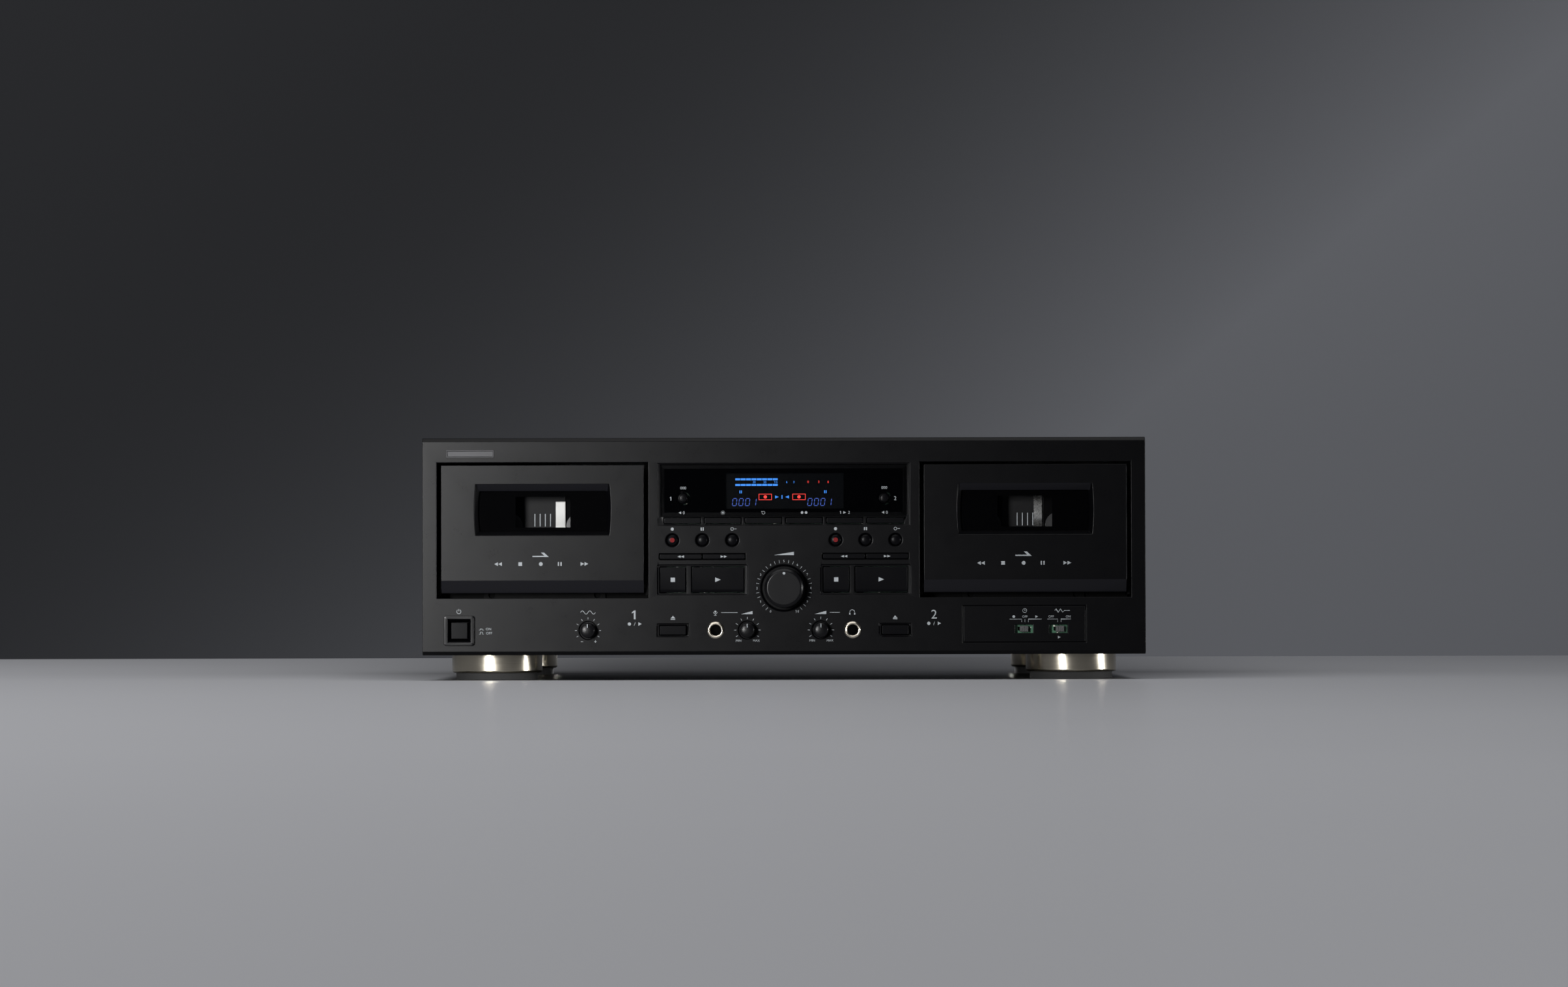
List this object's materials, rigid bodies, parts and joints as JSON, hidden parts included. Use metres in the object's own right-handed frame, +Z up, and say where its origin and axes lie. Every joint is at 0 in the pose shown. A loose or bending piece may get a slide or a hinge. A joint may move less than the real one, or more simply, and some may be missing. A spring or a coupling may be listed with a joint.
{
  "type": "double cassette deck",
  "caption": "Black double cassette deck with two hinged smoked-window doors, a lit display, push keys, level knobs, jacks and round metal feet.",
  "frame": {"origin": "under the middle of the whole object, on the floor plane", "axes": "+X to the right seen from the front, +Y to the back, +Z up"},
  "size_m": [0.435, 0.2858, 0.1457],
  "materials": {
    "panel_black": "satin, fine grain",
    "case_black": "fine textured paint",
    "foot_gold": "satin turned, champagne tint",
    "foot_rubber": "matt",
    "screw_black": "black zinc",
    "display_smoke": "smoked, polished",
    "window_smoke": "smoked, polished",
    "board_green": "solder mask",
    "core_steel": "laminated",
    "socket_metal": "nickel plated",
    "jack_nickel": "nickel plated",
    "frame_steel": "zinc plated sheet",
    "bezel_black": "satin",
    "key_black": "satin",
    "knob_black": "satin",
    "slider_black": "matt",
    "holder_black": "matt",
    "spindle_black": "satin",
    "flywheel_steel": "turned",
    "head_steel": "polished heads on plated sheet",
    "legend_print": "printed legends",
    "display_glow": "lit display segments",
    "record_red": "red marks",
    "display_red": "lit red display segments",
    "display_tube": "dark tube front",
    "mask_black": "black print behind the windows",
    "badge_steel": "blank brushed plate",
    "felt_white": "felt pad",
    "socket_white": "colour ring of a left line socket",
    "socket_red": "colour ring of a right line socket",
    "chip_black": "moulded packages",
    "cap_sleeve": "shrink sleeve",
    "coil_tape": "winding tape"
  },
  "bodies": {
    "chassis": {"front_panel": "panel_black", "base_pan": "case_black", "top_cover": "case_black", "rear_panel": "case_black", "foot_rings": "foot_gold", "foot_pads": "foot_rubber", "case_screws": "screw_black", "display_window": "display_smoke", "front_board": "board_green", "main_board": "board_green", "power_transformer": "core_steel", "rear_sockets": "socket_metal", "front_jacks": "jack_nickel", "power_switch": "bezel_black", "transport_frames": "frame_steel"},
    "door_1": {"door_panel_1": "panel_black", "door_window_1": "window_smoke", "cassette_holder_1": "holder_black"},
    "door_2": {"door_panel_2": "panel_black", "door_window_2": "window_smoke", "cassette_holder_2": "holder_black"},
    "power_button": {"power_button": "key_black"},
    "zero_return_key_1": {"zero_return_key_1": "key_black"},
    "dimmer_key": {"dimmer_key": "key_black"},
    "repeat_key": {"repeat_key": "key_black"},
    "parallel_key": {"parallel_key": "key_black"},
    "dub_start_key": {"dub_start_key": "key_black"},
    "zero_return_key_2": {"zero_return_key_2": "key_black"},
    "reset_button_1": {"reset_button_1": "key_black"},
    "reset_button_2": {"reset_button_2": "key_black"},
    "record_button_1": {"record_button_1": "key_black"},
    "record_button_2": {"record_button_2": "key_black"},
    "pause_button_1": {"pause_button_1": "key_black"},
    "pause_button_2": {"pause_button_2": "key_black"},
    "mute_button_1": {"mute_button_1": "key_black"},
    "mute_button_2": {"mute_button_2": "key_black"},
    "rewind_key_1": {"rewind_key_1": "key_black"},
    "rewind_key_2": {"rewind_key_2": "key_black"},
    "forward_key_1": {"forward_key_1": "key_black"},
    "forward_key_2": {"forward_key_2": "key_black"},
    "stop_key_1": {"stop_key_1": "key_black"},
    "stop_key_2": {"stop_key_2": "key_black"},
    "play_key_1": {"play_key_1": "key_black"},
    "play_key_2": {"play_key_2": "key_black"},
    "eject_key_1": {"eject_key_1": "key_black"},
    "eject_key_2": {"eject_key_2": "key_black"},
    "record_level_knob": {"record_level_knob": "knob_black"},
    "pitch_knob": {"pitch_knob": "knob_black"},
    "mic_level_knob": {"mic_level_knob": "knob_black"},
    "phones_level_knob": {"phones_level_knob": "knob_black"},
    "timer_slider": {"timer_slider": "slider_black"},
    "noise_slider": {"noise_slider": "slider_black"},
    "supply_spindle_1": {"supply_spindle_1": "spindle_black"},
    "takeup_spindle_1": {"takeup_spindle_1": "spindle_black"},
    "capstan_flywheel_1": {"capstan_flywheel_1": "flywheel_steel"},
    "head_carriage_1": {"head_carriage_1": "head_steel"},
    "supply_spindle_2": {"supply_spindle_2": "spindle_black"},
    "takeup_spindle_2": {"takeup_spindle_2": "spindle_black"},
    "capstan_flywheel_2": {"capstan_flywheel_2": "flywheel_steel"},
    "head_carriage_2": {"head_carriage_2": "head_steel"}
  },
  "joints": [
    {"name": "door_1_turn", "type": "hinge", "parent": "chassis", "child": "door_1", "pos_m": [-0.1452, -0.1189, 0.056], "axis": [1, 0, 0], "range_deg": [0, 24]},
    {"name": "door_2_turn", "type": "hinge", "parent": "chassis", "child": "door_2", "pos_m": [0.1452, -0.1189, 0.056], "axis": [1, 0, 0], "range_deg": [0, 24]},
    {"name": "zero_return_key_1_slide", "type": "slide", "parent": "chassis", "child": "zero_return_key_1", "axis": [0, 1, 0], "range_m": [0, 0.0008], "stiffness_N_per_m": 400},
    {"name": "dimmer_key_slide", "type": "slide", "parent": "chassis", "child": "dimmer_key", "axis": [0, 1, 0], "range_m": [0, 0.0008], "stiffness_N_per_m": 400},
    {"name": "repeat_key_slide", "type": "slide", "parent": "chassis", "child": "repeat_key", "axis": [0, 1, 0], "range_m": [0, 0.0008], "stiffness_N_per_m": 400},
    {"name": "parallel_key_slide", "type": "slide", "parent": "chassis", "child": "parallel_key", "axis": [0, 1, 0], "range_m": [0, 0.0008], "stiffness_N_per_m": 400},
    {"name": "dub_start_key_slide", "type": "slide", "parent": "chassis", "child": "dub_start_key", "axis": [0, 1, 0], "range_m": [0, 0.0008], "stiffness_N_per_m": 400},
    {"name": "zero_return_key_2_slide", "type": "slide", "parent": "chassis", "child": "zero_return_key_2", "axis": [0, 1, 0], "range_m": [0, 0.0008], "stiffness_N_per_m": 400},
    {"name": "reset_button_1_slide", "type": "slide", "parent": "chassis", "child": "reset_button_1", "axis": [0, 1, 0], "range_m": [0, 0.0008], "stiffness_N_per_m": 400},
    {"name": "reset_button_2_slide", "type": "slide", "parent": "chassis", "child": "reset_button_2", "axis": [0, 1, 0], "range_m": [0, 0.0008], "stiffness_N_per_m": 400},
    {"name": "record_button_1_slide", "type": "slide", "parent": "chassis", "child": "record_button_1", "axis": [0, 1, 0], "range_m": [0, 0.0008], "stiffness_N_per_m": 400},
    {"name": "record_button_2_slide", "type": "slide", "parent": "chassis", "child": "record_button_2", "axis": [0, 1, 0], "range_m": [0, 0.0008], "stiffness_N_per_m": 400},
    {"name": "pause_button_1_slide", "type": "slide", "parent": "chassis", "child": "pause_button_1", "axis": [0, 1, 0], "range_m": [0, 0.0008], "stiffness_N_per_m": 400},
    {"name": "pause_button_2_slide", "type": "slide", "parent": "chassis", "child": "pause_button_2", "axis": [0, 1, 0], "range_m": [0, 0.0008], "stiffness_N_per_m": 400},
    {"name": "mute_button_1_slide", "type": "slide", "parent": "chassis", "child": "mute_button_1", "axis": [0, 1, 0], "range_m": [0, 0.0008], "stiffness_N_per_m": 400},
    {"name": "mute_button_2_slide", "type": "slide", "parent": "chassis", "child": "mute_button_2", "axis": [0, 1, 0], "range_m": [0, 0.0008], "stiffness_N_per_m": 400},
    {"name": "rewind_key_1_slide", "type": "slide", "parent": "chassis", "child": "rewind_key_1", "axis": [0, 1, 0], "range_m": [0, 0.0008], "stiffness_N_per_m": 400},
    {"name": "rewind_key_2_slide", "type": "slide", "parent": "chassis", "child": "rewind_key_2", "axis": [0, 1, 0], "range_m": [0, 0.0008], "stiffness_N_per_m": 400},
    {"name": "forward_key_1_slide", "type": "slide", "parent": "chassis", "child": "forward_key_1", "axis": [0, 1, 0], "range_m": [0, 0.0008], "stiffness_N_per_m": 400},
    {"name": "forward_key_2_slide", "type": "slide", "parent": "chassis", "child": "forward_key_2", "axis": [0, 1, 0], "range_m": [0, 0.0008], "stiffness_N_per_m": 400},
    {"name": "stop_key_1_slide", "type": "slide", "parent": "chassis", "child": "stop_key_1", "axis": [0, 1, 0], "range_m": [0, 0.0008], "stiffness_N_per_m": 400},
    {"name": "stop_key_2_slide", "type": "slide", "parent": "chassis", "child": "stop_key_2", "axis": [0, 1, 0], "range_m": [0, 0.0008], "stiffness_N_per_m": 400},
    {"name": "play_key_1_slide", "type": "slide", "parent": "chassis", "child": "play_key_1", "axis": [0, 1, 0], "range_m": [0, 0.0008], "stiffness_N_per_m": 400},
    {"name": "play_key_2_slide", "type": "slide", "parent": "chassis", "child": "play_key_2", "axis": [0, 1, 0], "range_m": [0, 0.0008], "stiffness_N_per_m": 400},
    {"name": "eject_key_1_slide", "type": "slide", "parent": "chassis", "child": "eject_key_1", "axis": [0, 1, 0], "range_m": [0, 0.0024], "stiffness_N_per_m": 400},
    {"name": "eject_key_2_slide", "type": "slide", "parent": "chassis", "child": "eject_key_2", "axis": [0, 1, 0], "range_m": [0, 0.0024], "stiffness_N_per_m": 400},
    {"name": "power_button_slide", "type": "slide", "parent": "chassis", "child": "power_button", "axis": [0, 1, 0], "range_m": [-0.0035, 0.0006]},
    {"name": "record_level_knob_turn", "type": "hinge", "parent": "chassis", "child": "record_level_knob", "pos_m": [0, -0.1289, 0.0552], "axis": [0, 1, 0], "range_deg": [-150, 150]},
    {"name": "pitch_knob_turn", "type": "hinge", "parent": "chassis", "child": "pitch_knob", "pos_m": [-0.1179, -0.1289, 0.03], "axis": [0, 1, 0], "range_deg": [-150, 150]},
    {"name": "mic_level_knob_turn", "type": "hinge", "parent": "chassis", "child": "mic_level_knob", "pos_m": [-0.0221, -0.1289, 0.03], "axis": [0, 1, 0], "range_deg": [-150, 150]},
    {"name": "phones_level_knob_turn", "type": "hinge", "parent": "chassis", "child": "phones_level_knob", "pos_m": [0.0221, -0.1289, 0.03], "axis": [0, 1, 0], "range_deg": [-150, 150]},
    {"name": "timer_slider_slide", "type": "slide", "parent": "chassis", "child": "timer_slider", "axis": [1, 0, 0], "range_m": [-0.002, 0.002]},
    {"name": "noise_slider_slide", "type": "slide", "parent": "chassis", "child": "noise_slider", "axis": [1, 0, 0], "range_m": [-0.002, 0]},
    {"name": "supply_spindle_1_spin", "type": "hinge", "parent": "chassis", "child": "supply_spindle_1", "pos_m": [-0.16645, -0.1049, 0.093], "axis": [0, 1, 0], "continuous": true},
    {"name": "takeup_spindle_1_spin", "type": "hinge", "parent": "chassis", "child": "takeup_spindle_1", "pos_m": [-0.12395, -0.1049, 0.093], "axis": [0, 1, 0], "continuous": true},
    {"name": "capstan_flywheel_1_spin", "type": "hinge", "parent": "chassis", "child": "capstan_flywheel_1", "pos_m": [-0.1212, -0.1049, 0.071], "axis": [0, 1, 0], "continuous": true},
    {"name": "head_carriage_1_slide", "type": "slide", "parent": "chassis", "child": "head_carriage_1", "axis": [0, 0, 1], "range_m": [0, 0.0071]},
    {"name": "supply_spindle_2_spin", "type": "hinge", "parent": "chassis", "child": "supply_spindle_2", "pos_m": [0.12395, -0.1049, 0.093], "axis": [0, 1, 0], "continuous": true},
    {"name": "takeup_spindle_2_spin", "type": "hinge", "parent": "chassis", "child": "takeup_spindle_2", "pos_m": [0.16645, -0.1049, 0.093], "axis": [0, 1, 0], "continuous": true},
    {"name": "capstan_flywheel_2_spin", "type": "hinge", "parent": "chassis", "child": "capstan_flywheel_2", "pos_m": [0.1692, -0.1049, 0.071], "axis": [0, 1, 0], "continuous": true},
    {"name": "head_carriage_2_slide", "type": "slide", "parent": "chassis", "child": "head_carriage_2", "axis": [0, 0, 1], "range_m": [0, 0.0071]}
  ]
}
